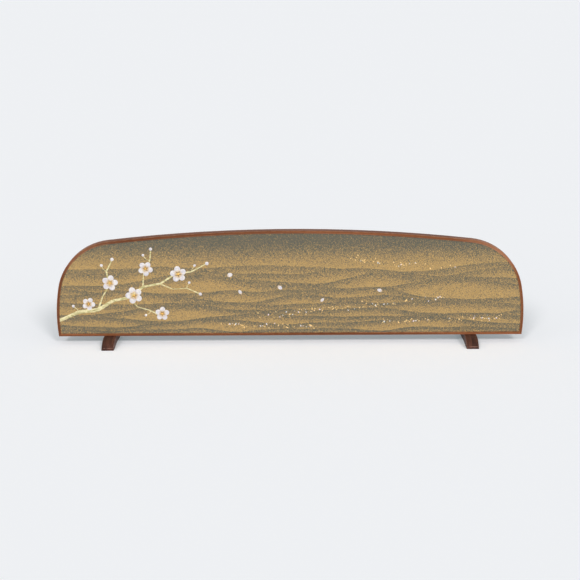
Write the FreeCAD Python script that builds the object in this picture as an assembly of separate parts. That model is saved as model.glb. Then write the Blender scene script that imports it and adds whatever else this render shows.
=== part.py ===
import FreeCAD, Part
import math
import os

# A low tea ceremony screen: one lacquered panel with an arched outline, edged by a bent wooden strip
# and carried on two arched feet. Millimetres, +Z up, +X along the screen, the picture faces -Y.
# The origin is on the floor, midway between the feet.

# Outline of the screen, seen from the front
SCREEN_WIDTH = 910.0
SCREEN_HEIGHT = 225.5
FLOOR_GAP = 17.0
TOP_RADIUS = 3150.0
SHOULDER_RADIUS = 112.0
SIDE_RADIUS = 324.0
WIDEST_HEIGHT = 55.0

# Edge strip, glued up from bent plies, and the straight rail that closes it below
PLY_THICKNESS = 1.7
PLY_NAMES = ("outer", "middle", "inner")
FRAME_DEPTH = 20.0
EDGE_CHAMFER = 0.6

# Loose key across each mitre
KEY_LENGTH = 3.2
KEY_THICKNESS = 1.2
KEY_WIDTH = 12.0
KEY_FIT = 0.05

# Panel: two face boards on a half-lapped lattice
REVEAL = 1.2
CORE_FIT = 0.3
BOARD_THICKNESS = 2.5
BOARD_CHAMFER = 0.6
EDGE_BATTEN = 14.0
BOTTOM_BATTEN = 22.0
LAP_LENGTH = 30.0
RIB_WIDTH = 9.0
UPRIGHT_COUNT = 7
CROSS_NAMES = ("lower", "upper")
TENON_LENGTH = 5.0
TENON_THICKNESS = 5.0

# Split bamboo pegs, square in section, between the strip and the panel
PEG_SIDE = 2.4
PEG_IN_STRIP = 2.6
PEG_IN_PANEL = 8.0
PEG_FIT = 0.05
TOP_PEGS = 6
RAIL_PEGS = 6

# Feet
FOOT_INSET = 102.5
FOOT_WIDTH = 23.5
FOOT_DEPTH = 104.0
FOOT_FLAT = 36.0
FOOT_TOE = 4.5
FOOT_PAD = 22.0
FOOT_RELIEF = 2.0
FOOT_CHAMFER = 0.8

# Wood screws that hold the feet up to the rail
SCREW_SPACING = 12.0
SCREW_RADIUS = 2.0
SCREW_HEAD_RADIUS = 3.9
SCREW_CONE = 2.2
SCREW_BITE = 14.0
SCREW_POINT = 5.0
SCREW_SLOT = 1.0
SCREW_SEAT = 9.0
SCREW_FIT = 0.1
THREAD_FIT = 0.05

# Sizes that follow from the ones above
HALF_WIDTH = SCREEN_WIDTH / 2
FRAME_FACE = PLY_THICKNESS * len(PLY_NAMES)
PANEL_BASE = FLOOR_GAP + FRAME_FACE
PANEL_FRONT = FRAME_DEPTH / 2 - REVEAL
CORE_HALF = PANEL_FRONT - BOARD_THICKNESS
CORE_INSET = FRAME_FACE + CORE_FIT
LATTICE_INSET = CORE_INSET + EDGE_BATTEN
LATTICE_BASE = PANEL_BASE + BOTTOM_BATTEN
FOOT_CENTRE = HALF_WIDTH - FOOT_INSET
BEYOND = SCREEN_WIDTH


def vector(x, y, z):
    return FreeCAD.Vector(x, y, z)


def flat_point(x, z):
    """A point of the screen's own plane, midway through its depth."""
    return vector(x, 0, z)


def meeting_point(first, first_reach, second, second_reach):
    """The upper right point that lies at the given reach from each of two centres."""
    line = second - first
    along = (first_reach**2 - second_reach**2 + line.Length**2) / (2 * line.Length)
    across = math.sqrt(first_reach**2 - along**2)
    line.normalize()
    outward = vector(line.z, 0, -line.x)
    return max((first + line * along + outward * side * across for side in (-1, 1)), key=lambda p: p.x)


def angle_of(line):
    return math.atan2(line.z, line.x)


# The outline is five tangent arcs: a side and a shoulder at each end, and the long top
TOP_CENTRE = flat_point(0, SCREEN_HEIGHT - TOP_RADIUS)
SIDE_CENTRE = flat_point(HALF_WIDTH - SIDE_RADIUS, WIDEST_HEIGHT)
SHOULDER_CENTRE = meeting_point(
    TOP_CENTRE, TOP_RADIUS - SHOULDER_RADIUS, SIDE_CENTRE, SIDE_RADIUS - SHOULDER_RADIUS
)
TOP_ANGLE = angle_of(SHOULDER_CENTRE - TOP_CENTRE)
SHOULDER_ANGLE = angle_of(SHOULDER_CENTRE - SIDE_CENTRE)


def on_arc(centre, radius, angle):
    return centre + flat_point(math.cos(angle), math.sin(angle)) * radius


def mirrored(point):
    return flat_point(-point.x, point.z)


def side_angle(inset, height):
    """Angle on the side arc, at an inset from the outer face, where it passes a height."""
    return math.asin((height - WIDEST_HEIGHT) / (SIDE_RADIUS - inset))


def right_corner(inset, height):
    return on_arc(SIDE_CENTRE, SIDE_RADIUS - inset, side_angle(inset, height))


MITRE_OUT = right_corner(0, FLOOR_GAP)
MITRE_IN = right_corner(FRAME_FACE, PANEL_BASE)


def arch_edges(inset, end_angle):
    """The arch at an inset from its outer face, from the right end over the top to the left end."""
    right = [
        (SIDE_CENTRE, SIDE_RADIUS - inset, end_angle, SHOULDER_ANGLE),
        (SHOULDER_CENTRE, SHOULDER_RADIUS - inset, SHOULDER_ANGLE, TOP_ANGLE),
    ]
    top = [(TOP_CENTRE, TOP_RADIUS - inset, TOP_ANGLE, math.pi - TOP_ANGLE)]
    left = [(mirrored(c), r, math.pi - b, math.pi - a) for c, r, a, b in reversed(right)]
    edges = []
    for centre, radius, start, end in right + top + left:
        points = [on_arc(centre, radius, a) for a in (start, (start + end) / 2, end)]
        edges.append(Part.Arc(*points).toShape())
    return edges


def end_points(edges):
    return edges[0].valueAt(edges[0].FirstParameter), edges[-1].valueAt(edges[-1].LastParameter)


def straight(start, end):
    return Part.LineSegment(start, end).toShape()


def outline(corners):
    """A closed loop of straight edges."""
    return [straight(corners[i - 1], corners[i]) for i in range(len(corners))]


def slab(edges, near, far):
    """The flat shape inside a loop of edges, made solid between two depths."""
    face = Part.Face(Part.Wire(Part.__sortEdges__(edges)))
    face.translate(vector(0, near, 0))
    return face.extrude(vector(0, far - near, 0))


def arch_slab(inset, base, near, far):
    """The whole area under the arch, at an inset from its outer face, down to a base line."""
    edges = arch_edges(inset, side_angle(inset, base))
    first, last = end_points(edges)
    return slab(edges + [straight(last, first)], near, far)


def block(low, high):
    """A box between two corners."""
    size = high - low
    return Part.makeBox(size.x, size.y, size.z, low)


def plate(middle, direction, length, thickness, width, fit):
    """A small upright block round a point, turned to a direction and grown all round by a fit."""
    run = direction * (length / 2 + fit)
    rise = vector(-direction.z, 0, direction.x) * (thickness / 2 + fit)
    corners = [middle + run * a + rise * b for a, b in ((-1, -1), (1, -1), (1, 1), (-1, 1))]
    return slab(outline(corners), -width / 2 - fit, width / 2 + fit)


def long_edges(shape, inset):
    """The edges that run along the arch on the face at an inset."""
    radii = [r - inset for r in (TOP_RADIUS, SHOULDER_RADIUS, SIDE_RADIUS)]
    rounds = [e for e in shape.Edges if isinstance(e.Curve, Part.Circle)]
    return [e for e in rounds if any(math.isclose(e.Curve.Radius, r, abs_tol=1e-6) for r in radii)]


def edges_along(shape, axis):
    """The straight edges that run along an axis."""
    lines = [e for e in shape.Edges if isinstance(e.Curve, Part.Line)]
    return [e for e in lines if abs(e.Curve.Direction.dot(axis)) > 0.999]


# Pegs, set square to the outline, and the holes that they need


def peg_places():
    """Where each peg crosses from the strip into the panel, and which way it points into the strip."""
    places = []
    for i in range(TOP_PEGS):
        angle = TOP_ANGLE + (math.pi - 2 * TOP_ANGLE) * (i + 0.5) / TOP_PEGS
        places.append((TOP_CENTRE, TOP_RADIUS - FRAME_FACE, angle))
    shoulder = (SHOULDER_CENTRE, SHOULDER_RADIUS - FRAME_FACE, (SHOULDER_ANGLE + TOP_ANGLE) / 2)
    side = (SIDE_CENTRE, SIDE_RADIUS - FRAME_FACE, SHOULDER_ANGLE / 2)
    for centre, radius, angle in (shoulder, side):
        places.append((centre, radius, angle))
        places.append((mirrored(centre), radius, math.pi - angle))
    pegs = [(on_arc(c, r, a), on_arc(flat_point(0, 0), 1, a)) for c, r, a in places]
    for i in range(RAIL_PEGS):
        x = 2 * FOOT_CENTRE * ((i + 0.5) / RAIL_PEGS - 0.5)
        pegs.append((flat_point(x, PANEL_BASE), vector(0, 0, -1)))
    return pegs


def peg_solids(fit):
    """Every peg, or every peg hole where a fit is given."""
    solids = []
    for place, outward in peg_places():
        middle = place + outward * (PEG_IN_STRIP - PEG_IN_PANEL) / 2
        solids.append(plate(middle, outward, PEG_IN_STRIP + PEG_IN_PANEL, PEG_SIDE, PEG_SIDE, fit))
    return solids


# Screws, upright through foot, rail and bottom batten


def screw_places():
    feet = (-FOOT_CENTRE, FOOT_CENTRE)
    return [foot + side * SCREW_SPACING / 2 for foot in feet for side in (-1, 1)]


SCREW_HEAD = FLOOR_GAP - SCREW_SEAT
SCREW_TIP = FLOOR_GAP + FRAME_FACE + SCREW_BITE


def screw(x):
    """A countersunk wood screw with a plain shank, standing on its slotted head."""
    profile = [
        flat_point(0, SCREW_HEAD),
        flat_point(SCREW_HEAD_RADIUS, SCREW_HEAD),
        flat_point(SCREW_RADIUS, SCREW_HEAD + SCREW_CONE),
        flat_point(SCREW_RADIUS, SCREW_TIP - SCREW_POINT),
        flat_point(0, SCREW_TIP),
        flat_point(0, SCREW_HEAD),
    ]
    turned = Part.Face(Part.makePolygon(profile)).revolve(flat_point(0, 0), vector(0, 0, 1), 360)
    half_slot = SCREW_SLOT / 2
    slot = block(
        vector(-half_slot, -SCREW_HEAD_RADIUS, SCREW_HEAD),
        vector(half_slot, SCREW_HEAD_RADIUS, SCREW_HEAD + SCREW_SLOT),
    )
    return turned.cut(slot).translated(vector(x, 0, 0))


def shank_hole(x, fit):
    """A plain hole for a screw's shank, from the floor up to just past its tip."""
    return Part.makeCylinder(SCREW_RADIUS + fit, SCREW_TIP + fit, vector(x, 0, 0), vector(0, 0, 1))


def head_recess(x):
    """The counterbore under a foot, with the cone that the screw's head pulls up into."""
    radius = SCREW_HEAD_RADIUS + SCREW_FIT
    bore = Part.makeCylinder(radius, SCREW_HEAD, vector(x, 0, 0), vector(0, 0, 1))
    cone = Part.makeCone(
        radius, SCREW_RADIUS + SCREW_FIT, SCREW_CONE, vector(x, 0, SCREW_HEAD), vector(0, 0, 1)
    )
    return bore.fuse(cone)


# Keys across the mitres


def mitre_key(fit):
    """The key of the right corner, square to the mitre, or its slot where a fit is given."""
    mitre = MITRE_IN - MITRE_OUT
    across = vector(mitre.z, 0, -mitre.x).normalize()
    return plate(MITRE_OUT + mitre / 2, across, KEY_LENGTH, KEY_THICKNESS, KEY_WIDTH, fit)


def mirror_copy(shape):
    return shape.mirror(vector(0, 0, 0), vector(1, 0, 0))


def both_sides(shape):
    return [shape, mirror_copy(shape)]


# The edge strip and its rail


def past_mitre():
    """A block on the rail's side of the right mitre, where the arch gives way to the rail."""
    along = (MITRE_IN - MITRE_OUT).normalize() * FRAME_DEPTH
    across = vector(-along.z, 0, along.x)
    corners = [MITRE_OUT - along, MITRE_IN + along, MITRE_IN + along + across, MITRE_OUT - along + across]
    return slab(outline(corners), -FRAME_DEPTH, FRAME_DEPTH)


def arch_ply(index):
    """One bent ply of the edge strip, mitred at both ends."""
    outside = index * PLY_THICKNESS
    inside = outside + PLY_THICKNESS
    base = FLOOR_GAP - FRAME_FACE
    outer = arch_edges(outside, side_angle(outside, base))
    inner = arch_edges(inside, side_angle(inside, base))
    outer_right, outer_left = end_points(outer)
    inner_right, inner_left = end_points(inner)
    ends = [straight(outer_right, inner_right), straight(outer_left, inner_left)]
    ply = slab(outer + inner + ends, -FRAME_DEPTH / 2, FRAME_DEPTH / 2)
    if index == 0:
        ply = ply.makeChamfer(EDGE_CHAMFER, long_edges(ply, outside))
    if index == len(PLY_NAMES) - 1:
        ply = ply.makeChamfer(EDGE_CHAMFER, long_edges(ply, inside))
    return ply.cut(both_sides(past_mitre()) + both_sides(mitre_key(KEY_FIT)) + peg_solids(PEG_FIT))


def bottom_rail():
    """The straight strip below the panel, mitred to the arch at both ends."""
    corners = [mirrored(MITRE_OUT), MITRE_OUT, MITRE_IN, mirrored(MITRE_IN)]
    rail = slab(outline(corners), -FRAME_DEPTH / 2, FRAME_DEPTH / 2)
    rail = rail.makeChamfer(EDGE_CHAMFER, edges_along(rail, vector(1, 0, 0)))
    holes = [shank_hole(x, SCREW_FIT) for x in screw_places()]
    return rail.cut(both_sides(mitre_key(KEY_FIT)) + peg_solids(PEG_FIT) + holes)


# The panel


def face_board(near, far, shown):
    """A thin board cut tight to the strip all round, chamfered round its shown face."""
    board = arch_slab(FRAME_FACE, PANEL_BASE, near, far)
    rim = [e for e in board.Edges if abs(e.CenterOfMass.y - shown) < 1e-6]
    return board.makeChamfer(BOARD_CHAMFER, rim)


def half(front):
    """The front or the back half of the lattice's depth, over the whole screen."""
    near, far = (-CORE_HALF, 0) if front else (0, CORE_HALF)
    return block(vector(-BEYOND, near, -BEYOND), vector(BEYOND, far, BEYOND))


def between(low, high):
    """All of the lattice between two places along the screen."""
    return block(vector(low, -CORE_HALF, -BEYOND), vector(high, CORE_HALF, BEYOND))


def bar(x_low, x_high, z_low, z_high, half_depth):
    return block(vector(x_low, -half_depth, z_low), vector(x_high, half_depth, z_high))


def upright_bar(x, half_depth):
    return bar(x - RIB_WIDTH / 2, x + RIB_WIDTH / 2, FLOOR_GAP, SCREEN_HEIGHT, half_depth)


def cross_bar(z, half_depth):
    return bar(-HALF_WIDTH, HALF_WIDTH, z - RIB_WIDTH / 2, z + RIB_WIDTH / 2, half_depth)


def upright_places():
    pitch = 2 * (HALF_WIDTH - FRAME_FACE) / (UPRIGHT_COUNT + 1)
    return [(i + 1) * pitch - HALF_WIDTH + FRAME_FACE for i in range(UPRIGHT_COUNT)]


def cross_places():
    top = SCREEN_HEIGHT - LATTICE_INSET
    pitch = (top - LATTICE_BASE) / (len(CROSS_NAMES) + 1)
    return [LATTICE_BASE + (i + 1) * pitch for i in range(len(CROSS_NAMES))]


def lattice_space(grow):
    """The space inside the edge battens, grown into them by the length of a tenon."""
    return arch_slab(LATTICE_INSET - grow, LATTICE_BASE - grow, -CORE_HALF, CORE_HALF)


def rib(bars, crossings, front):
    """A rib with a stub tenon at each end, halved on its front or back where ribs cross it."""
    full, thin = bars
    solid = full.common(lattice_space(0)).fuse(thin.common(lattice_space(TENON_LENGTH)))
    notches = [c.common(half(front)) for c in crossings]
    return solid.cut(notches).removeSplitter()


def rib_bars(make_bar, place):
    return make_bar(place, CORE_HALF), make_bar(place, TENON_THICKNESS / 2)


def upright_ribs():
    crossings = [cross_bar(z, CORE_HALF) for z in cross_places()]
    return [rib(rib_bars(upright_bar, x), crossings, True) for x in upright_places()]


def cross_ribs():
    crossings = [upright_bar(x, CORE_HALF) for x in upright_places()]
    return [rib(rib_bars(cross_bar, z), crossings, False) for z in cross_places()]


def edge_battens():
    """The four battens round the lattice, halved together where they meet."""
    core = arch_slab(CORE_INSET, PANEL_BASE, -CORE_HALF, CORE_HALF)
    ring = core.cut(arch_slab(LATTICE_INSET, PANEL_BASE, -CORE_HALF, CORE_HALF))
    strip = core.common(bar(-BEYOND, BEYOND, PANEL_BASE, LATTICE_BASE, CORE_HALF))
    corners = ring.common(strip)
    lap_end = on_arc(TOP_CENTRE, TOP_RADIUS - LATTICE_INSET, TOP_ANGLE).x
    lap_start = lap_end - LAP_LENGTH
    laps = ring.common(between(lap_start, lap_end))
    right = ring.common(between(lap_start, BEYOND)).cut(corners.common(half(True)))
    right = right.cut(laps.common(half(True)))
    top = ring.common(between(-lap_end, lap_end))
    top = top.cut(both_sides(laps.common(half(False))))
    strip = strip.cut(corners.common(half(False)))
    return {"top": top, "right": right, "left": mirror_copy(right), "bottom": strip}


def bored_battens(ribs):
    """The edge battens with mortises for the ribs and holes for the pegs and the screws."""
    holes = peg_solids(PEG_FIT) + [shank_hole(x, THREAD_FIT) for x in screw_places()]
    return {name: batten.cut(ribs + holes) for name, batten in edge_battens().items()}


# The feet


def is_crease(edge):
    """True where the foot's level top runs smoothly into a rounded toe, with no edge to ease."""
    return edge.BoundBox.XLength > FOOT_WIDTH / 2 and edge.BoundBox.ZMin > FLOOR_GAP - 1e-6


def foot(centre):
    """An arched foot: level under the rail, rounding down to a low toe, relieved between its pads."""
    toe = FOOT_DEPTH / 2
    level = FOOT_FLAT / 2
    pad = toe - FOOT_PAD
    run = toe - level
    drop = FLOOR_GAP - FOOT_TOE
    radius = (run**2 + drop**2) / (2 * drop)
    middle = math.asin(run / radius) / 2
    crown = (level + radius * math.sin(middle), FLOOR_GAP - radius * (1 - math.cos(middle)))

    def place(y, z):
        return vector(centre - FOOT_WIDTH / 2, y, z)

    edges = [straight(place(-level, FLOOR_GAP), place(level, FLOOR_GAP))]
    for side in (-1, 1):
        edges.append(
            Part.Arc(
                place(side * level, FLOOR_GAP), place(side * crown[0], crown[1]), place(side * toe, FOOT_TOE)
            ).toShape()
        )
        edges.append(straight(place(side * toe, FOOT_TOE), place(side * toe, 0)))
        edges.append(straight(place(side * toe, 0), place(side * pad, 0)))
    edges.append(Part.Arc(place(pad, 0), place(0, FOOT_RELIEF), place(-pad, 0)).toShape())
    face = Part.Face(Part.Wire(Part.__sortEdges__(edges)))
    solid = face.extrude(vector(FOOT_WIDTH, 0, 0))
    upper = [e for e in solid.Edges if e.BoundBox.ZMin > FOOT_TOE - 1e-6 and not is_crease(e)]
    solid = solid.makeChamfer(FOOT_CHAMFER, upper)
    holes = [shank_hole(x, SCREW_FIT) for x in screw_places()]
    return solid.cut(holes + [head_recess(x) for x in screw_places()])


# Writing the sub-parts


def all_parts():
    uprights = upright_ribs()
    crosses = cross_ribs()
    parts = {f"arch_{name}_ply": arch_ply(i) for i, name in enumerate(PLY_NAMES)}
    parts["bottom_rail"] = bottom_rail()
    parts["corner_key_right"] = mitre_key(0)
    parts["corner_key_left"] = mirror_copy(mitre_key(0))
    parts["front_board"] = face_board(-PANEL_FRONT, -CORE_HALF, -PANEL_FRONT)
    parts["back_board"] = face_board(CORE_HALF, PANEL_FRONT, PANEL_FRONT)
    for name, batten in bored_battens(uprights + crosses).items():
        parts[f"edge_batten_{name}"] = batten
    for i, upright in enumerate(uprights):
        parts[f"upright_rib_{i + 1}"] = upright
    for name, cross in zip(CROSS_NAMES, crosses):
        parts[f"cross_rib_{name}"] = cross
    parts["frame_pegs"] = Part.makeCompound(peg_solids(0))
    parts["foot_left"] = foot(-FOOT_CENTRE)
    parts["foot_right"] = foot(FOOT_CENTRE)
    parts["foot_screws"] = Part.makeCompound([screw(x) for x in screw_places()])
    return parts


os.makedirs("parts", exist_ok=True)
for part_name, part_shape in all_parts().items():
    if not part_shape.isValid():
        raise ValueError(f"{part_name} isn't a valid solid")
    part_shape.exportStep(f"parts/{part_name}.step")
    volume = sum(s.Volume for s in part_shape.Solids)
    print(f"{part_name}: {len(part_shape.Solids)} solid(s), {volume:.0f} mm3")
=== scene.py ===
import math
import random

import bpy
from mathutils import Matrix, Vector


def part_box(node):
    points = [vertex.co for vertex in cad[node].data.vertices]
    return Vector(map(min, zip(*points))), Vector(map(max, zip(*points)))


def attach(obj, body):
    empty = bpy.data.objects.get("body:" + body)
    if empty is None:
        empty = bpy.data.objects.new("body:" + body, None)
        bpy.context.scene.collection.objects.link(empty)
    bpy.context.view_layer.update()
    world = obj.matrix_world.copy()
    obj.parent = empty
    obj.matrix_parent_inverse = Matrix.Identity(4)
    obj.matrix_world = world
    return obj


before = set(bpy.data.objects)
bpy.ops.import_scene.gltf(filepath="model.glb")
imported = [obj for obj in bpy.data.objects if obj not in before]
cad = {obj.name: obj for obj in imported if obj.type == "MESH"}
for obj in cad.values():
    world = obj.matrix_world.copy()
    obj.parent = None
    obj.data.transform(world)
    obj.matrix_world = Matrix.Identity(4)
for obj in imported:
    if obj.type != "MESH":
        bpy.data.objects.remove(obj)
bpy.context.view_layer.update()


# Core of the panel: sawn cedar battens round the edge, and ribs halved across each other between
# them. The face boards close it in, so the wood is left bare from the saw.


def paint(red, green, blue):
    """A colour as the eye reads it, 0 to 255, turned into the light that a surface gives back."""
    shares = [value / 255 for value in (red, green, blue)]
    return [s / 12.92 if s <= 0.04045 else ((s + 0.055) / 1.055) ** 2.4 for s in shares] + [1.0]


def feed(tree, socket, value):
    """Sets an input, or joins it to what another node gives out."""
    if isinstance(value, bpy.types.NodeSocket):
        tree.links.new(value, socket)
    else:
        socket.default_value = value


def reckon(tree, operation, *values):
    """One sum on numbers that change over a surface."""
    step = tree.nodes.new("ShaderNodeMath")
    step.operation = operation
    for socket, value in zip(step.inputs, values):
        feed(tree, socket, value)
    return step.outputs[0]


def ease(tree, value, low, high, first=0.0, last=1.0):
    """A smooth change from first to last while a value goes from low to high."""
    step = tree.nodes.new("ShaderNodeMapRange")
    step.interpolation_type = "SMOOTHSTEP"
    numbers = {"Value": value, "From Min": low, "From Max": high, "To Min": first, "To Max": last}
    for name, number in numbers.items():
        feed(tree, step.inputs[name], number)
    return step.outputs["Result"]


def spread(tree, noise, first=0.0, last=1.0):
    """Soft noise, which keeps near its middle, drawn out over the whole way from first to last."""
    return ease(tree, noise, 0.3, 0.7, first, last)


def blend(tree, share, first, second):
    """A share of the second colour over the first."""
    step = tree.nodes.new("ShaderNodeMix")
    step.data_type = "RGBA"
    sockets = (step.inputs[0], step.inputs[6], step.inputs[7])
    for socket, value in zip(sockets, (share, first, second)):
        feed(tree, socket, value)
    return step.outputs[2]


def stretched(tree, place, stretch):
    """A place counted in steps of its own along each axis."""
    step = tree.nodes.new("ShaderNodeVectorMath")
    step.operation = "MULTIPLY"
    feed(tree, step.inputs[0], place)
    step.inputs[1].default_value = stretch
    return step.outputs[0]


def mottle(tree, place, per_metre, detail=2.0):
    """Soft uneven patches over a surface, so many to the metre."""
    step = tree.nodes.new("ShaderNodeTexNoise")
    feed(tree, step.inputs["Vector"], place)
    step.inputs["Scale"].default_value = per_metre
    step.inputs["Detail"].default_value = detail
    return step.outputs[0]


def streaks(tree, place, along, across, detail=2.0):
    """Uneven streaks along the first axis, so many to the metre along it and so many across it."""
    return mottle(tree, stretched(tree, place, (along, across, across)), 1.0, detail)


def object_place(tree):
    """Where a point lies, in metres, in the frame of the screen."""
    return tree.nodes.new("ShaderNodeTexCoord").outputs["Object"]


def parted(tree, place):
    """The three numbers of a place."""
    step = tree.nodes.new("ShaderNodeSeparateXYZ")
    feed(tree, step.inputs[0], place)
    return step.outputs


def joined(tree, x, y, z):
    """A place put together from three numbers."""
    step = tree.nodes.new("ShaderNodeCombineXYZ")
    for socket, value in zip(step.inputs, (x, y, z)):
        feed(tree, socket, value)
    return step.outputs[0]


def new_group(name, inputs, outputs):
    """An empty node group with named inputs and outputs, each of a kind."""
    tree = bpy.data.node_groups.new(name, "ShaderNodeTree")
    for socket, kind in inputs:
        tree.interface.new_socket(socket, in_out="INPUT", socket_type=kind)
    for socket, kind in outputs:
        tree.interface.new_socket(socket, in_out="OUTPUT", socket_type=kind)
    return tree, tree.nodes.new("NodeGroupInput").outputs, tree.nodes.new("NodeGroupOutput").inputs


def placed(tree, group, **inputs):
    """A node group set into a material, with its own values."""
    step = tree.nodes.new("ShaderNodeGroup")
    step.node_tree = group
    for name, value in inputs.items():
        feed(tree, step.inputs[name.replace("_", " ").capitalize()], value)
    return step.outputs


NUMBER = "NodeSocketFloat"
PLACE = "NodeSocketVector"

wood_grain, grain_in, grain_out = new_group(
    "wood_grain", [("Place", PLACE)], [("Figure", NUMBER), ("Pores", NUMBER)]
)
slow = streaks(wood_grain, grain_in["Place"], along=2.2, across=40.0)
broad = streaks(wood_grain, grain_in["Place"], along=5.0, across=260.0, detail=3.0)
narrow = streaks(wood_grain, grain_in["Place"], along=16.0, across=950.0)
figure = spread(wood_grain, slow, last=0.35)
figure = reckon(wood_grain, "ADD", figure, spread(wood_grain, broad, last=0.4))
figure = reckon(wood_grain, "ADD", figure, spread(wood_grain, narrow, last=0.25))
feed(wood_grain, grain_out["Figure"], figure)
vessels = streaks(wood_grain, grain_in["Place"], along=80.0, across=3000.0)
feed(wood_grain, grain_out["Pores"], ease(wood_grain, vessels, 0.58, 0.7))


def finish(name):
    """A new material with its node tree and its shader."""
    material = bpy.data.materials.new(name)
    material.use_nodes = True
    return material, material.node_tree, material.node_tree.nodes["Principled BSDF"]


def raise_bump(tree, shader, height, distance):
    """Fine relief on a surface."""
    bump = tree.nodes.new("ShaderNodeBump")
    bump.inputs["Distance"].default_value = distance
    feed(tree, bump.inputs["Height"], height)
    feed(tree, shader.inputs["Normal"], bump.outputs[0])


def wood(name, dark, light, grain_place, roughness):
    """A wood finish: long figure between two tones, with fine dark pores along the grain."""
    pore_shade = 0.55
    pore_cover = 0.55
    relief = 0.00008
    dark_roughness = roughness + 0.06
    light_roughness = roughness - 0.04
    material, tree, shader = finish(name)
    grain = placed(tree, wood_grain, place=grain_place(tree))
    tone = blend(tree, grain["Figure"], paint(*dark), paint(*light))
    pore_tone = paint(*(value * pore_shade for value in dark))
    pores = reckon(tree, "MULTIPLY", grain["Pores"], pore_cover)
    feed(tree, shader.inputs["Base Color"], blend(tree, pores, tone, pore_tone))
    uneven = ease(tree, grain["Figure"], 0.0, 1.0, dark_roughness, light_roughness)
    feed(tree, shader.inputs["Roughness"], uneven)
    shader.inputs["Specular IOR Level"].default_value = 0.18
    raise_bump(tree, shader, reckon(tree, "SUBTRACT", grain["Figure"], grain["Pores"]), relief)
    return material


def along_x(tree):
    """Grain that runs level, along the screen."""
    return object_place(tree)


def along_z(tree):
    """Grain that runs upright."""
    x, y, z = parted(tree, object_place(tree))
    return joined(tree, z, x, y)


def dress(material, *names):
    """Gives CAD nodes their finish."""
    for name in names:
        for material_slot in cad[name].material_slots:
            material_slot.material = material


cedar = ((176, 132, 92), (214, 178, 134))
sawn = 0.7
upright_cedar = wood("cedar_upright", *cedar, along_z, sawn)
level_cedar = wood("cedar_level", *cedar, along_x, sawn)
ribs = [name for name in cad if name.startswith("upright_rib")]
dress(upright_cedar, "edge_batten_left", "edge_batten_right", *ribs)
dress(level_cedar, "edge_batten_top", "edge_batten_bottom", "cross_rib_lower", "cross_rib_upper")


# Back board: thin wood like the front one, finished in plain brown-black lacquer, since it faces away
# from the guests. The last coat is rubbed along the board with charcoal, which leaves faint marks in
# the gloss.

back_lacquer, tree, shader = finish("plain_dark_lacquer")
place = object_place(tree)
cloud = spread(tree, mottle(tree, place, 7.0, 3.0))
rub_marks = mottle(tree, stretched(tree, place, (9.0, 9.0, 420.0)), 1.0, 3.0)
feed(tree, shader.inputs["Base Color"], blend(tree, cloud, paint(44, 28, 22), paint(60, 37, 28)))
feed(tree, shader.inputs["Roughness"], spread(tree, rub_marks, 0.26, 0.42))
shader.inputs["Specular IOR Level"].default_value = 0.35
shader.inputs["Coat Weight"].default_value = 0.12
shader.inputs["Coat Roughness"].default_value = 0.12
raise_bump(tree, shader, rub_marks, 0.00003)
dress(back_lacquer, "back_board")


# Front board: thin wood under a dark lacquer ground, dusted with gold through a sieve before the last
# coats. The dust lies thin near the top, and drifts thick into the hollows between low misty hills.


def between(first, last, share):
    """A number some share of the way from first to last."""
    return first + (last - first) * share


noise_middle = 0.5
crest_line = (-0.0004, 0.0008)
hill_values = (
    "Ground", "Along", "Height", "Crest", "Swell", "Hills per metre", "Start", "Fade",
    "Crest dust", "Hollow dust",
)
hill, hill_in, hill_out = new_group(
    "misty_hill", [(value, NUMBER) for value in hill_values], [("Ground", NUMBER)]
)
ridge = hill.nodes.new("ShaderNodeTexNoise")
ridge.noise_dimensions = "1D"
ridge.inputs["Scale"].default_value = 1.0
ridge.inputs["Detail"].default_value = 1.5
run = reckon(hill, "MULTIPLY_ADD", hill_in["Along"], hill_in["Hills per metre"], hill_in["Start"])
feed(hill, ridge.inputs["W"], run)
rise = reckon(hill, "SUBTRACT", ridge.outputs[0], noise_middle)
crest = reckon(hill, "ADD", hill_in["Crest"], reckon(hill, "MULTIPLY", rise, hill_in["Swell"]))
below = reckon(hill, "SUBTRACT", crest, hill_in["Height"])
body = ease(hill, below, 0.0, hill_in["Fade"], hill_in["Crest dust"], hill_in["Hollow dust"])
covered = ease(hill, below, *crest_line)
over = hill.nodes.new("ShaderNodeMix")
sockets = (over.inputs[0], over.inputs[2], over.inputs[3])
for socket, value in zip(sockets, (covered, hill_in["Ground"], body)):
    feed(hill, socket, value)
feed(hill, hill_out["Ground"], over.outputs[0])

thin_above = 0.214
thick_below = 0.138
drift_height = 0.016
hill_count = 11
hills_per_metre = (1.9, 2.8, 2.3)
hill_shift = 7.3
clumps_per_metre = 520.0
clump_strength = 1.5
grains_per_metre = 1900.0
grain_softness = 0.12
grain_relief = 0.00005

front_lacquer, tree, shader = finish("gold_dusted_lacquer")
place = object_place(tree)
x, y, z = parted(tree, place)
drift = mottle(tree, place, 9.0)
lowered = reckon(tree, "SUBTRACT", z, drift_height / 2)
lifted = reckon(tree, "MULTIPLY_ADD", drift, drift_height, lowered)
dust = ease(tree, lifted, thin_above, thick_below, 0.06, 0.84)
for step in range(hill_count):
    nearer = step / (hill_count - 1)
    dust = placed(
        tree,
        hill,
        ground=dust,
        along=x,
        height=z,
        crest=between(0.158, 0.030, nearer),
        swell=between(0.090, 0.034, nearer),
        hills_per_metre=hills_per_metre[step % 3] + 1.4 * nearer,
        start=3.1 + hill_shift * step,
        fade=between(0.024, 0.016, nearer),
        crest_dust=between(0.36, 0.20, nearer),
        hollow_dust=between(0.76, 0.72, nearer),
    )["Ground"]
clumps = reckon(tree, "SUBTRACT", mottle(tree, place, clumps_per_metre, 3.0), noise_middle)
thick = ease(tree, reckon(tree, "MULTIPLY_ADD", clumps, clump_strength, dust), -0.1, 1.1)
grains = tree.nodes.new("ShaderNodeTexVoronoi")
grains.inputs["Scale"].default_value = grains_per_metre
feed(tree, grains.inputs["Vector"], place)
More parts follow.
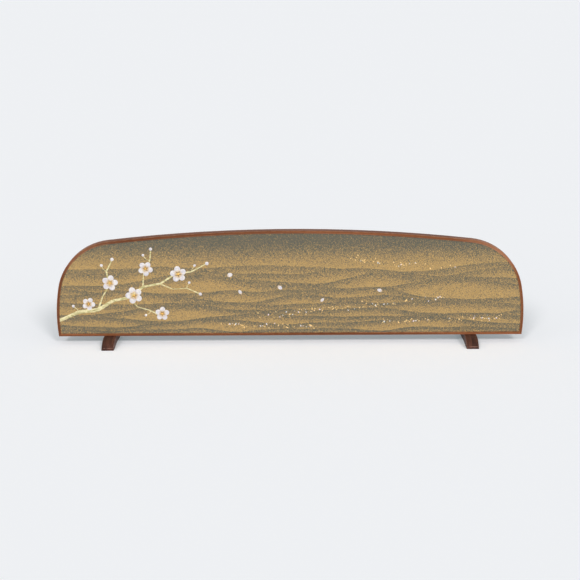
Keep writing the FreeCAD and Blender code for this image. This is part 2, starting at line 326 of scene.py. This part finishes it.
luck, tint, _ = parted(tree, grains.outputs["Color"])
gold_share = ease(tree, reckon(tree, "SUBTRACT", thick, luck), -grain_softness, grain_softness)
lacquer = blend(tree, mottle(tree, place, 40.0), paint(72, 76, 64), paint(90, 83, 68))
gold = blend(tree, tint, paint(158, 125, 68), paint(198, 165, 106))
feed(tree, shader.inputs["Base Color"], blend(tree, gold_share, lacquer, gold))
feed(tree, shader.inputs["Metallic"], reckon(tree, "MULTIPLY", gold_share, 0.25))
feed(tree, shader.inputs["Roughness"], ease(tree, gold_share, 0.0, 1.0, 0.4, 0.5))
shader.inputs["Coat Weight"].default_value = 0.15
shader.inputs["Coat Roughness"].default_value = 0.2
raise_bump(tree, shader, gold_share, grain_relief)
dress(front_lacquer, "front_board")


# Raised branch: an old flowering plum, built up on the board in lacquer and powder and rounded over by
# hand, then rubbed with pale gold. It enters from the left edge, and its twigs turn now up, now down.


def choose(piece):
    """Makes one piece the one that is worked on."""
    bpy.ops.object.select_all(action="DESELECT")
    piece.select_set(True)
    bpy.context.view_layer.objects.active = piece


def cut_away(point, facing):
    """Cuts off all that lies beyond a plane, and closes the cut with one flat face."""
    on_plane = 0.00000001
    same_point = 0.000004
    bpy.ops.mesh.select_all(action="SELECT")
    bpy.ops.mesh.bisect(plane_co=point, plane_no=facing, clear_outer=True, threshold=on_plane)
    bpy.ops.mesh.select_all(action="SELECT")
    bpy.ops.mesh.fill_holes(sides=0)
    bpy.ops.mesh.remove_doubles(threshold=same_point)
    bpy.ops.mesh.normals_make_consistent(inside=False)


def as_one(pieces, name):
    """Joins pieces into one object."""
    choose(pieces[0])
    for piece in pieces:
        piece.select_set(True)
    bpy.ops.object.join()
    pieces[0].name = name
    pieces[0].data.name = name
    return pieces[0]


def glue_on(piece, material):
    """Finishes a new piece: smooth faces, its material, its place on the screen."""
    choose(piece)
    bpy.ops.object.shade_smooth_by_angle(angle=math.radians(40))
    piece.data.materials.clear()
    piece.data.materials.append(material)
    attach(piece, "root")


board_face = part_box("front_board")[0][1]
backward = (0.0, 1.0, 0.0)
leftward = (-1.0, 0.0, 0.0)
bedded = 0.00005
strip_edge = -0.4496
branch_rise = 0.0007
bark_unevenness = 0.07
main_stem = [
    (-466, 44), (-441, 53), (-412, 66), (-374, 70), (-345, 88), (-312, 95),
    (-285, 116), (-252, 122), (-222, 141), (-190, 146), (-162, 161),
]
stems = [
    # thickness at the root and at the tip, then the places it runs through, all in millimetres
    (4.4, 1.1, main_stem),
    (2.2, 0.8, [(-374, 70), (-364, 97), (-350, 120), (-355, 147), (-344, 168)]),
    (2.0, 0.8, [(-312, 95), (-297, 76), (-271, 68), (-244, 52)]),
    (1.7, 0.7, [(-285, 116), (-283, 145), (-270, 168), (-268, 188)]),
    (1.4, 0.7, [(-252, 122), (-227, 111), (-200, 113), (-176, 102)]),
    (0.9, 0.6, [(-355, 147), (-361, 152), (-363, 157)]),
    (0.9, 0.6, [(-270, 168), (-277, 171), (-282, 177)]),
    (0.8, 0.5, [(-190, 146), (-189, 151), (-185, 156)]),
    (0.8, 0.5, [(-200, 113), (-199, 118), (-196, 122)]),
    (0.9, 0.6, [(-271, 68), (-274, 63), (-279, 60)]),
    (1.1, 0.7, [(-412, 66), (-415, 72), (-420, 76)]),
]
thickest = max(root for root, tip, places in stems) / 1000


def on_board(x, z):
    """A place on the face of the front board, given in millimetres across and up."""
    return Vector((x / 1000, board_face, z / 1000))


twigs = []
for root, tip, places in stems:
    bpy.ops.object.select_all(action="DESELECT")
    bpy.ops.mesh.primitive_plane_add(size=0.002, location=on_board(*places[0]))
    twig = bpy.context.object
    bpy.ops.object.transform_apply(location=True)
    bpy.ops.object.mode_set(mode="EDIT")
    bpy.ops.mesh.select_all(action="SELECT")
    bpy.ops.mesh.merge(type="CENTER")
    for here, there in zip(places, places[1:]):
        onward = on_board(*there) - on_board(*here)
        bpy.ops.mesh.extrude_region_move(TRANSFORM_OT_translate={"value": onward})
    bpy.ops.object.mode_set(mode="OBJECT")
    bpy.ops.object.modifier_add(type="SKIN")
    for step, point in enumerate(twig.data.skin_vertices[0].data):
        thickness = between(root, tip, step / (len(places) - 1)) / 1000
        point.radius = (thickness, thickness)
    bpy.ops.object.modifier_add(type="SUBSURF")
    twig.modifiers["Subdivision"].levels = 2
    bpy.ops.object.modifier_apply(modifier="Skin")
    bpy.ops.object.modifier_apply(modifier="Subdivision")
    bpy.ops.object.mode_set(mode="EDIT")
    bpy.ops.mesh.select_all(action="SELECT")
    bpy.ops.transform.vertex_random(offset=root / 1000 * bark_unevenness, seed=5)
    flattened = (1.0, branch_rise / thickest, 1.0)
    bpy.ops.transform.resize(value=flattened, center_override=(0.0, board_face, 0.0))
    cut_away((0.0, board_face + bedded, 0.0), backward)
    cut_away((strip_edge, 0.0, 0.0), leftward)
    bpy.ops.object.mode_set(mode="OBJECT")
    twigs.append(twig)
branch = as_one(twigs, "plum_branch")

bark_gold, tree, shader = finish("pale_gold_bark")
bark_lines = mottle(tree, stretched(tree, object_place(tree), (160.0, 160.0, 420.0)), 1.0, 3.0)
shade = ease(tree, bark_lines, 0.35, 0.65)
pale_gold = blend(tree, shade, paint(168, 158, 104), paint(222, 212, 164))
feed(tree, shader.inputs["Base Color"], pale_gold)
feed(tree, shader.inputs["Roughness"], ease(tree, shade, 0.0, 1.0, 0.55, 0.38))
shader.inputs["Coat Weight"].default_value = 0.1
raise_bump(tree, shader, bark_lines, 0.0002)
glue_on(branch, bark_gold)


# Blossoms: five cupped petals each, cut from white shell and rounded at the edges, set into the wet
# lacquer on and beside the branch. Buds are single rounds of the same shell, and a few fallen petals
# drift away to the right.


def pick(piece, rule):
    """Chooses the points of a piece that answer a rule, and no others."""
    bpy.ops.object.mode_set(mode="OBJECT")
    for kind in (piece.data.polygons, piece.data.edges, piece.data.vertices):
        kind.foreach_set("select", [False] * len(kind))
    for point in piece.data.vertices:
        point.select = rule(point.co)
    bpy.ops.object.mode_set(mode="EDIT")
    bpy.ops.mesh.select_mode(type="VERT")


def copy_of(pattern):
    """Another piece of the same shape, with a mesh of its own."""
    choose(pattern)
    bpy.ops.object.duplicate()
    return bpy.context.object


def set_on_board(piece, x, z, proud, turn, size, slim=1.0):
    """Puts a piece on the board at a place, standing proud of it, turned and sized."""
    choose(piece)
    piece.location = on_board(x, z) - Vector((0.0, proud, 0.0))
    piece.rotation_euler = (0.0, math.radians(turn), 0.0)
    piece.scale = (size * slim, 1.0, size)
    bpy.ops.object.transform_apply(location=True, rotation=True, scale=True)
    return piece


def put_away(pattern):
    """Takes a pattern out once its copies are made."""
    choose(pattern)
    bpy.ops.object.delete()


petal_rise = 0.0010
petal_half_width = 0.0056
petal_half_length = 0.0060
petal_middle = 0.0090
petal_base = petal_middle - petal_half_length
petal_length = 2 * petal_half_length
flat_centre = (0.0, 0.0, 0.0)
rounded_side = -0.0001

bpy.ops.object.select_all(action="DESELECT")
bpy.ops.mesh.primitive_uv_sphere_add(segments=24, ring_count=14, radius=1.0)
petal = bpy.context.object
bpy.ops.object.mode_set(mode="EDIT")
bpy.ops.mesh.select_all(action="SELECT")
bpy.ops.transform.resize(value=(petal_half_width, petal_rise, petal_half_length))
bpy.ops.transform.translate(value=(0.0, 0.0, petal_middle))
cut_away((0.0, bedded, 0.0), backward)
for below, narrower, lower in ((0.0060, 0.82, 1.0), (0.0042, 0.82, 0.8)):
    pick(petal, lambda point: point.z < below)
    bpy.ops.transform.resize(value=(narrower, lower, 1.0), center_override=flat_centre)
for middle, reach, depth in ((0.0094, 0.0034, 0.0003), (0.0092, 0.0022, 0.0002)):
    pick(petal, lambda point: point.y < rounded_side and math.hypot(point.x, point.z - middle) < reach)
    bpy.ops.transform.translate(value=(0.0, depth, 0.0))
bpy.ops.object.mode_set(mode="OBJECT")
out_along = petal.data.attributes.new("out_along_petal", "FLOAT", "POINT")
for index, point in enumerate(petal.data.vertices):
    out_along.data[index].value = (point.co.z - petal_base) / petal_length
fallen_petal = copy_of(petal)
petals = [petal]
for fifth in range(1, 5):
    turned_petal = copy_of(petal)
    turned_petal.rotation_euler = (0.0, fifth * math.tau / 5, 0.0)
    bpy.ops.object.transform_apply(rotation=True)
    petals.append(turned_petal)
five_petals = as_one(petals, "five_petals")

bud_rise = 0.0011
bud_half_width = 0.0034
bud_half_height = 0.0036
bud_tip = 0.0020

bpy.ops.object.select_all(action="DESELECT")
bpy.ops.mesh.primitive_uv_sphere_add(segments=18, ring_count=12, radius=1.0)
bud = bpy.context.object
bpy.ops.object.mode_set(mode="EDIT")
bpy.ops.mesh.select_all(action="SELECT")
bpy.ops.transform.resize(value=(bud_half_width, bud_rise, bud_half_height))
cut_away((0.0, bedded, 0.0), backward)
pick(bud, lambda point: point.z > bud_tip)
bpy.ops.transform.resize(value=(0.75, 1.0, 1.1), center_override=(0.0, 0.0, bud_tip))
bpy.ops.object.mode_set(mode="OBJECT")
out_along = bud.data.attributes.new("out_along_petal", "FLOAT", "POINT")
for index, point in enumerate(bud.data.vertices):
    out_along.data[index].value = 0.35 + (point.co.z + bud_half_height) / petal_length

blossom_places = [
    # across and up in millimetres, turn in degrees, size
    (-349, 124, 12, 1.04),
    (-303, 99, -20, 1.12),
    (-279, 152, 31, 0.96),
    (-249, 62, 4, 0.92),
    (-216, 141, -9, 1.06),
    (-392, 82, 25, 0.86),
]
bud_places = [
    (-343, 171, 28, 1.0),
    (-364, 159, -25, 0.85),
    (-268, 191, 6, 0.9),
    (-283, 179, -40, 0.75),
    (-160, 162, 62, 1.0),
    (-184, 158, 39, 0.75),
    (-174, 101, 115, 0.9),
    (-195, 124, 37, 0.75),
    (-281, 59, -120, 0.75),
    (-422, 78, -51, 0.8),
]
fallen_places = [
    # the same, then how slim it looks as it turns in the air
    (-124, 136, 70, 0.90, 0.80),
    (-92, 98, -35, 0.84, 0.62),
    (-26, 118, 125, 0.88, 0.70),
    (58, 82, 40, 0.80, 0.58),
    (182, 104, -70, 0.86, 0.66),
]
shells = []
for pattern, spots in ((five_petals, blossom_places), (bud, bud_places), (fallen_petal, fallen_places)):
    shells += [set_on_board(copy_of(pattern), x, z, 0.0, *how) for x, z, *how in spots]
for pattern in (five_petals, bud, fallen_petal):
    put_away(pattern)
blossoms = as_one(shells, "plum_blossoms")

white_shell, tree, shader = finish("white_shell")
place = object_place(tree)
length = tree.nodes.new("ShaderNodeAttribute")
length.attribute_name = "out_along_petal"
near_base = ease(tree, length.outputs["Fac"], 0.0, 0.5, 1.0, 0.0)
lustre = ease(tree, mottle(tree, place, 260.0), 0.35, 0.65)
pearl = blend(tree, lustre, paint(200, 196, 202), paint(221, 216, 212))
feed(tree, shader.inputs["Base Color"], blend(tree, near_base, pearl, paint(190, 166, 132)))
feed(tree, shader.inputs["Roughness"], ease(tree, lustre, 0.0, 1.0, 0.28, 0.4))
shader.inputs["Coat Weight"].default_value = 0.3
shader.inputs["Coat Roughness"].default_value = 0.15
raise_bump(tree, shader, mottle(tree, place, 700.0), 0.00004)
glue_on(blossoms, white_shell)


# Stamens: fine lines drawn out from a small gold boss in each open blossom, each ending in a dot, laid
# in lacquer over the petals and dusted with gold while it was tacky.

thread_radius = 0.00022
thread_length = 0.0046
thread_middle = (0.0, 0.0, 0.0037)
thread_end = 0.005
thread_count = 10
thread_sizes = (1.0, 0.78)
dot_steps = ((0.0001, 2.4), (0.0005, 1.15), (0.0003, 0.4))
boss_size = (0.0019, 0.0005, 0.0019)
boss_back = (0.0, 0.0003, 0.0)
over_petals = 0.0006
between_petals = 18

bpy.ops.object.select_all(action="DESELECT")
bpy.ops.mesh.primitive_cylinder_add(
    vertices=6, radius=thread_radius, depth=thread_length, location=thread_middle
)
thread = bpy.context.object
bpy.ops.object.transform_apply(location=True)
bpy.ops.object.mode_set(mode="EDIT")
pick(thread, lambda point: point.z > thread_end)
for rise, widen in dot_steps:
    bpy.ops.mesh.extrude_region_move(TRANSFORM_OT_translate={"value": (0.0, 0.0, rise)})
    bpy.ops.transform.resize(value=(widen, widen, 1.0))
bpy.ops.object.mode_set(mode="OBJECT")
threads = [thread]
for turn in range(1, thread_count):
    next_thread = copy_of(thread)
    next_thread.rotation_euler = (0.0, turn * math.tau / thread_count, 0.0)
    next_thread.scale = (1.0, 1.0, thread_sizes[turn % 2])
    bpy.ops.object.transform_apply(rotation=True, scale=True)
    threads.append(next_thread)

bpy.ops.object.select_all(action="DESELECT")
bpy.ops.mesh.primitive_uv_sphere_add(segments=14, ring_count=8, radius=1.0)
boss = bpy.context.object
bpy.ops.object.mode_set(mode="EDIT")
bpy.ops.mesh.select_all(action="SELECT")
bpy.ops.transform.resize(value=boss_size)
cut_away(boss_back, backward)
bpy.ops.object.mode_set(mode="OBJECT")
stamen_ring = as_one([boss] + threads, "stamen_ring")
rings = []
for x, z, turn, size in blossom_places:
    ring = copy_of(stamen_ring)
    rings.append(set_on_board(ring, x, z, over_petals, turn + between_petals, size))
put_away(stamen_ring)
stamens = as_one(rings, "blossom_stamens")

bright_gold, tree, shader = finish("bright_gold_powder")
powder = spread(tree, mottle(tree, object_place(tree), 2200.0))
feed(tree, shader.inputs["Base Color"], blend(tree, powder, paint(206, 152, 66), paint(240, 196, 112)))
shader.inputs["Metallic"].default_value = 0.35
feed(tree, shader.inputs["Roughness"], ease(tree, powder, 0.0, 1.0, 0.5, 0.35))
glue_on(stamens, bright_gold)


# Flakes: cut scraps of gold leaf and of shell, laid one by one in loose drifts in the mist and pressed
# down flat before the last coat.

flake_radius = 0.001
flake_slimness = (1.0, 1.0, 0.7)
flake_thickness = 0.00015
flake_taper = (0.85, 1.0, 0.85)
flake_corners = (5, 6, 4)
flake_sizes = (0.7, 2.0)
deepest_press = 0.0001
stray = 6.0
shell_share = 0.2
lying_flat = (math.pi / 2, 0.0, 0.0)
flake_dice = random.Random(11)

flake_shapes = []
for corners in flake_corners:
    bpy.ops.object.select_all(action="DESELECT")
    bpy.ops.mesh.primitive_circle_add(
        vertices=corners, radius=flake_radius, fill_type="NGON", rotation=lying_flat
    )
    flake = bpy.context.object
    bpy.ops.object.transform_apply(rotation=True)
    bpy.ops.object.mode_set(mode="EDIT")
    bpy.ops.mesh.select_all(action="SELECT")
    bpy.ops.transform.resize(value=flake_slimness)
    bpy.ops.mesh.extrude_region_move(TRANSFORM_OT_translate={"value": (0.0, -flake_thickness, 0.0)})
    bpy.ops.transform.resize(value=flake_taper)
    bpy.ops.mesh.select_all(action="SELECT")
    bpy.ops.mesh.normals_make_consistent(inside=False)
    bpy.ops.object.mode_set(mode="OBJECT")
    flake_shapes.append(flake)

drifts = [
    # first place, last place, how wide the drift spreads, how many flakes
    ((120, 168), (330, 150), 3.0, 46),
    ((-60, 58), (300, 92), 3.5, 84),
    ((-150, 40), (60, 34), 2.2, 48),
    ((180, 44), (420, 52), 2.6, 62),
]
gold_flakes = []
shell_flakes = []
for first, last, spill, count in drifts:
    for step in range(count):
        share = flake_dice.random()
        x = between(first[0], last[0], share) + flake_dice.gauss(0.0, stray)
        z = between(first[1], last[1], share) + flake_dice.gauss(0.0, spill)
        flake = copy_of(flake_dice.choice(flake_shapes))
        pressed = flake_dice.uniform(0.0, deepest_press)
        turn = flake_dice.uniform(0.0, 360.0)
        set_on_board(flake, x, z, -pressed, turn, flake_dice.uniform(*flake_sizes))
        heap = shell_flakes if flake_dice.random() < shell_share else gold_flakes
        heap.append(flake)
for flake in flake_shapes:
    put_away(flake)

gold_leaf, tree, shader = finish("gold_leaf")
creases = mottle(tree, object_place(tree), 1600.0, 3.0)
sheen = spread(tree, creases)
feed(tree, shader.inputs["Base Color"], blend(tree, sheen, paint(228, 184, 108), paint(252, 220, 156)))
shader.inputs["Metallic"].default_value = 0.25
feed(tree, shader.inputs["Roughness"], ease(tree, sheen, 0.0, 1.0, 0.45, 0.3))
raise_bump(tree, shader, creases, 0.00005)
glue_on(as_one(gold_flakes, "gold_flakes"), gold_leaf)

cut_shell, tree, shader = finish("cut_shell")
play = ease(tree, mottle(tree, object_place(tree), 420.0), 0.4, 0.6)
feed(tree, shader.inputs["Base Color"], blend(tree, play, paint(206, 224, 222), paint(232, 214, 222)))
feed(tree, shader.inputs["Roughness"], ease(tree, play, 0.0, 1.0, 0.22, 0.34))
shader.inputs["Coat Weight"].default_value = 0.3
shader.inputs["Coat Roughness"].default_value = 0.1
glue_on(as_one(shell_flakes, "shell_flakes"), cut_shell)


# Edge strip: three thin plies of red-brown hardwood bent together round a form, so the grain follows
# the arch from corner to corner. The rail below is straight. All are rubbed with clear lacquer, which
# has worn thin along the eased edges; those edges are paled for that wear and also as a painted
# highlight where they catch the light. The shoulders are paled as a painted highlight, the right
# more than the left.

top_radius = 3.150
shoulder_radius = 0.112
side_radius = 0.324
widest_height = 0.055
screen_width = 0.910
screen_height = 0.2255

top_centre = Vector((0.0, screen_height - top_radius))
side_centre = Vector((screen_width / 2 - side_radius, widest_height))
apart = side_centre - top_centre
top_reach = top_radius - shoulder_radius
side_reach = side_radius - shoulder_radius
on_line = (top_reach**2 - side_reach**2 + apart.length_squared) / (2 * apart.length)
off_line = math.sqrt(top_reach**2 - on_line**2)
straight = apart.normalized()
square_to_it = Vector((straight.y, -straight.x))
shoulder_centre = top_centre + straight * on_line + square_to_it * off_line
top_angle = math.atan2(*reversed(shoulder_centre - top_centre))
shoulder_angle = math.atan2(*reversed(shoulder_centre - side_centre))


def along_bend(tree):
    """How far a place lies along the bent strip, and how deep it lies under the strip's outer face."""
    x, y, z = parted(tree, object_place(tree))
    right = reckon(tree, "ABSOLUTE", x)
    top_run = top_radius * (math.pi / 2 - top_angle)
    shoulder_run = top_run + shoulder_radius * (top_angle - shoulder_angle)
    arcs = [
        (top_centre, top_radius, math.pi / 2, 0.0),
        (shoulder_centre, shoulder_radius, top_angle, top_run),
        (side_centre, side_radius, shoulder_angle, shoulder_run),
    ]
    runs, depths, angles = [], [], []
    for centre, radius, start_angle, start_run in arcs:
        across = reckon(tree, "SUBTRACT", right, centre.x)
        up = reckon(tree, "SUBTRACT", z, centre.y)
        angle = reckon(tree, "ARCTAN2", up, across)
        squares = reckon(tree, "MULTIPLY_ADD", across, across, reckon(tree, "MULTIPLY", up, up))
        runs.append(reckon(tree, "MULTIPLY_ADD", angle, -radius, start_run + radius * start_angle))
        depths.append(reckon(tree, "SUBTRACT", radius, reckon(tree, "SQRT", squares)))
        angles.append(angle)
    on_top = reckon(tree, "GREATER_THAN", angles[0], top_angle)
    on_side = reckon(tree, "LESS_THAN", angles[2], shoulder_angle)

    def chosen(values):
        """The value of the arc that a place belongs to."""
        from_shoulder = reckon(tree, "SUBTRACT", values[0], values[1])
        upper = reckon(tree, "MULTIPLY_ADD", on_top, from_shoulder, values[1])
        from_upper = reckon(tree, "SUBTRACT", values[2], upper)
        return reckon(tree, "MULTIPLY_ADD", on_side, from_upper, upper)

    run = reckon(tree, "MULTIPLY", chosen(runs), reckon(tree, "SIGN", x))
    return joined(tree, run, y, chosen(depths))


# Eased edges paled: wear, and a painted highlight where the arrises catch the light.
beyond_side = (0.66, 0.69)
short_of_face = (0.97, 0.94)
worn_and_lit_edge, edge_in, edge_out = new_group("worn_and_lit_edge", [("Across", PLACE)], [("Worn and lit", NUMBER)])
facing = worn_and_lit_edge.nodes.new("ShaderNodeVectorMath")
facing.operation = "DOT_PRODUCT"
geometry = worn_and_lit_edge.nodes.new("ShaderNodeNewGeometry")
feed(worn_and_lit_edge, facing.inputs[0], geometry.outputs["True Normal"])
feed(worn_and_lit_edge, facing.inputs[1], edge_in["Across"])
slant = reckon(worn_and_lit_edge, "ABSOLUTE", facing.outputs["Value"])
not_side = ease(worn_and_lit_edge, slant, *beyond_side)
not_face = ease(worn_and_lit_edge, slant, *short_of_face)
eased = reckon(worn_and_lit_edge, "MULTIPLY", not_side, not_face)
broken_up = ease(worn_and_lit_edge, mottle(worn_and_lit_edge, object_place(worn_and_lit_edge), 90.0), 0.34, 0.66)
feed(worn_and_lit_edge, edge_out["Worn and lit"], reckon(worn_and_lit_edge, "MULTIPLY", eased, broken_up))


def pale_for_wear_and_highlight(material, light, share):
    """Pales a wood finish by a share that changes over it: wear on the edges, and a painted highlight
    on the edges and shoulders.
    """
    paler_by = 40
    colour_kept = 0.95
    tree = material.node_tree
    base = tree.nodes["Principled BSDF"].inputs["Base Color"]
    pale_tone = paint(*(paler_by + value * colour_kept for value in light))
    feed(tree, base, blend(tree, share, base.links[0].from_socket, pale_tone))


def pale_worn_and_lit_edges(material, light, across):
    """Pales the eased edges round the faces that look one way or the other along a direction, for wear
    and as a painted highlight.
    """
    edge_share = 0.7
    tree = material.node_tree
    edge_paling = placed(tree, worn_and_lit_edge, across=across)["Worn and lit"]
    pale_for_wear_and_highlight(material, light, reckon(tree, "MULTIPLY", edge_paling, edge_share))


def painted_shoulder_highlight(tree):
    """A painted highlight: the shoulders of the strip paled where light from the upper right catches
    them, the right more than the left.
    """
    from_the_top = (0.30, 0.41)
    from_the_side = (0.442, 0.418)
    left_share, right_share = 0.4, 0.85
    near_middle = 0.1
    place = object_place(tree)
    x, y, z = parted(tree, place)
    reach = reckon(tree, "ABSOLUTE", x)
    shoulder_band = reckon(tree, "MULTIPLY", ease(tree, reach, *from_the_top), ease(tree, reach, *from_the_side))
    uneven = spread(tree, mottle(tree, place, 60.0, 3.0), 0.7, 1.0)
    side = ease(tree, x, -near_middle, near_middle, left_share, right_share)
    return reckon(tree, "MULTIPLY", reckon(tree, "MULTIPLY", shoulder_band, uneven), side)


front_and_back = (0.0, 1.0, 0.0)
clear_lacquer = 0.55
ply_tones = {
    "outer": ((84, 44, 22), (132, 79, 46)),
    "middle": ((78, 41, 20), (128, 77, 46)),
    "inner": ((92, 51, 28), (146, 93, 61)),
}
for ply, (dark, light) in ply_tones.items():
    ply_wood = wood(f"strip_{ply}_ply", dark, light, along_bend, clear_lacquer)
    # Edges paled for wear and as a painted highlight.
    pale_worn_and_lit_edges(ply_wood, light, front_and_back)
    # Painted highlight: the shoulders paled, the right more than the left.
    pale_for_wear_and_highlight(ply_wood, light, painted_shoulder_highlight(ply_wood.node_tree))
    dress(ply_wood, f"arch_{ply}_ply")

rail_dark, rail_light = (88, 47, 24), (146, 90, 55)
rail_wood = wood("rail_wood", rail_dark, rail_light, along_x, clear_lacquer)
# Edges paled for wear and as a painted highlight.
pale_worn_and_lit_edges(rail_wood, rail_light, front_and_back)
dress(rail_wood, "bottom_rail")


# Keys and pegs: slips of the strip's own wood across the mitres, and split bamboo pegs between the
# strip and the panel. All are glued, and none shows once the screen is together.

key_wood = wood("key_wood", (120, 78, 56), (158, 112, 84), along_x, 0.65)
bamboo = wood("split_bamboo", (186, 158, 98), (222, 198, 140), along_z, 0.55)
dress(key_wood, "corner_key_left", "corner_key_right")
dress(bamboo, "frame_pegs")


# Feet: solid blocks of darker hardwood with the grain from toe to heel, so the short end grain shows
# at the toes. Brass screws draw them up to the rail from below.


def along_y(tree):
    """Grain that runs from toe to heel, in layers that lie wide one above another."""
    layer_height = 0.15
    x, y, z = parted(tree, object_place(tree))
    return joined(tree, y, x, reckon(tree, "MULTIPLY", z, layer_height))


left_and_right = (1.0, 0.0, 0.0)
foot_dark, foot_light = (31, 16, 14), (105, 66, 52)
foot_wood = wood("foot_wood", foot_dark, foot_light, along_y, 0.5)
# Edges, the toe edges among them, paled for wear and as a painted highlight.
pale_worn_and_lit_edges(foot_wood, foot_light, front_and_back)
pale_worn_and_lit_edges(foot_wood, foot_light, left_and_right)
dress(foot_wood, "foot_left", "foot_right")

brass, tree, shader = finish("screw_brass")
place = object_place(tree)
tarnish = mottle(tree, place, 900.0)
feed(tree, shader.inputs["Base Color"], blend(tree, tarnish, paint(176, 138, 70), paint(206, 170, 98)))
shader.inputs["Metallic"].default_value = 1.0
feed(tree, shader.inputs["Roughness"], spread(tree, mottle(tree, place, 1500.0), 0.28, 0.42))
dress(brass, "foot_screws")


# Stage: a plain pale floor that runs on behind the screen to the horizon, a soft light from in front on
# each side, and light from all round that is weaker from behind. The eye sees the floor a little paler
# and cooler than those lights make it, so that the shadow under the rail stays open.

floor_size = 80.0
floor_middle = (0.0, 20.0, 0.0)
floor_lift = 0.15
lamps = {"left": (1.14, 0.28), "right": (1.25, -0.34)}
lamp_breadth = math.radians(14)
lamp_inward = 0.80
lamp_downward = -0.54
room_in_front = 0.60
room_behind = 0.28
room_change = 0.5


def seen_rays(tree):
    """One for what the eye sees, also in a gloss or through glass, and none for light on its way."""
    ray = tree.nodes.new("ShaderNodeLightPath").outputs
    seen = reckon(tree, "MAXIMUM", ray["Is Camera Ray"], ray["Is Glossy Ray"])
    return reckon(tree, "MAXIMUM", seen, ray["Is Transmission Ray"])


bpy.ops.object.select_all(action="DESELECT")
bpy.ops.mesh.primitive_plane_add(size=floor_size, location=floor_middle)
floor = bpy.context.object
floor.name = "floor"
bpy.ops.object.transform_apply(location=True)
floor_paper, tree, shader = finish("floor_paper")
shader.inputs["Base Color"].default_value = paint(244, 241, 243)
shader.inputs["Roughness"].default_value = 1.0
shader.inputs["Specular IOR Level"].default_value = 0.0
shader.inputs["Emission Color"].default_value = paint(206, 240, 248)
lift = reckon(tree, "MULTIPLY", seen_rays(tree), floor_lift)
feed(tree, shader.inputs["Emission Strength"], lift)
floor.data.materials.append(floor_paper)

for side, (energy, across) in lamps.items():
    broad_light = bpy.data.lights.new("broad_light_" + side, "SUN")
    broad_light.energy = energy
    broad_light.angle = lamp_breadth
    light_holder = bpy.data.objects.new("broad_light_" + side, broad_light)
    aim = Vector((across, lamp_inward, lamp_downward))
    light_holder.rotation_euler = aim.to_track_quat("-Z", "Y").to_euler()
    bpy.context.scene.collection.objects.link(light_holder)

world = bpy.data.worlds.new("pale_room")
world.use_nodes = True
tree = world.node_tree
room_light = tree.nodes["Background"]
room_light.inputs["Color"].default_value = (1.0, 1.0, 1.0, 1.0)
_, inward, _ = parted(tree, tree.nodes.new("ShaderNodeTexCoord").outputs["Generated"])
room_strength = ease(tree, inward, -room_change, room_change, room_in_front, room_behind)
feed(tree, room_light.inputs["Strength"], room_strength)
far_paper = tree.nodes.new("ShaderNodeBackground")
far_paper.inputs["Color"].default_value = paint(238, 240, 243)
either = tree.nodes.new("ShaderNodeMixShader")
for socket, value in zip(either.inputs, (seen_rays(tree), room_light.outputs[0], far_paper.outputs[0])):
    feed(tree, socket, value)
feed(tree, tree.nodes["World Output"].inputs["Surface"], either.outputs[0])
bpy.context.scene.world = world
bpy.context.scene.view_settings.view_transform = "Standard"


# Camera: low and almost square to the screen, from the front, far enough off that the long top keeps
# its even arch.

camera_turn = math.radians(0.239)
camera_lift = math.radians(14.391)
camera_roll = math.radians(-0.347)
camera_distance = 2.560
camera_target = Vector((0.00027, 0.0, 0.10602))
level_back = Vector((math.sin(camera_turn), -math.cos(camera_turn), 0.0))
back = level_back * math.cos(camera_lift) + Vector((0.0, 0.0, math.sin(camera_lift)))
right = (-back).cross(Vector((0.0, 0.0, 1.0))).normalized()
up = right.cross(-back)
rolled_right = right * math.cos(camera_roll) + up * math.sin(camera_roll)
rolled_up = up * math.cos(camera_roll) - right * math.sin(camera_roll)
view = bpy.data.cameras.new("photo_view")
view.sensor_width = 36.0
view.lens = 81.57
camera = bpy.data.objects.new("photo_view", view)
turned = Matrix((rolled_right, rolled_up, back)).transposed().to_4x4()
camera.matrix_world = Matrix.Translation(camera_target + back * camera_distance) @ turned
bpy.context.scene.collection.objects.link(camera)
bpy.context.scene.camera = camera
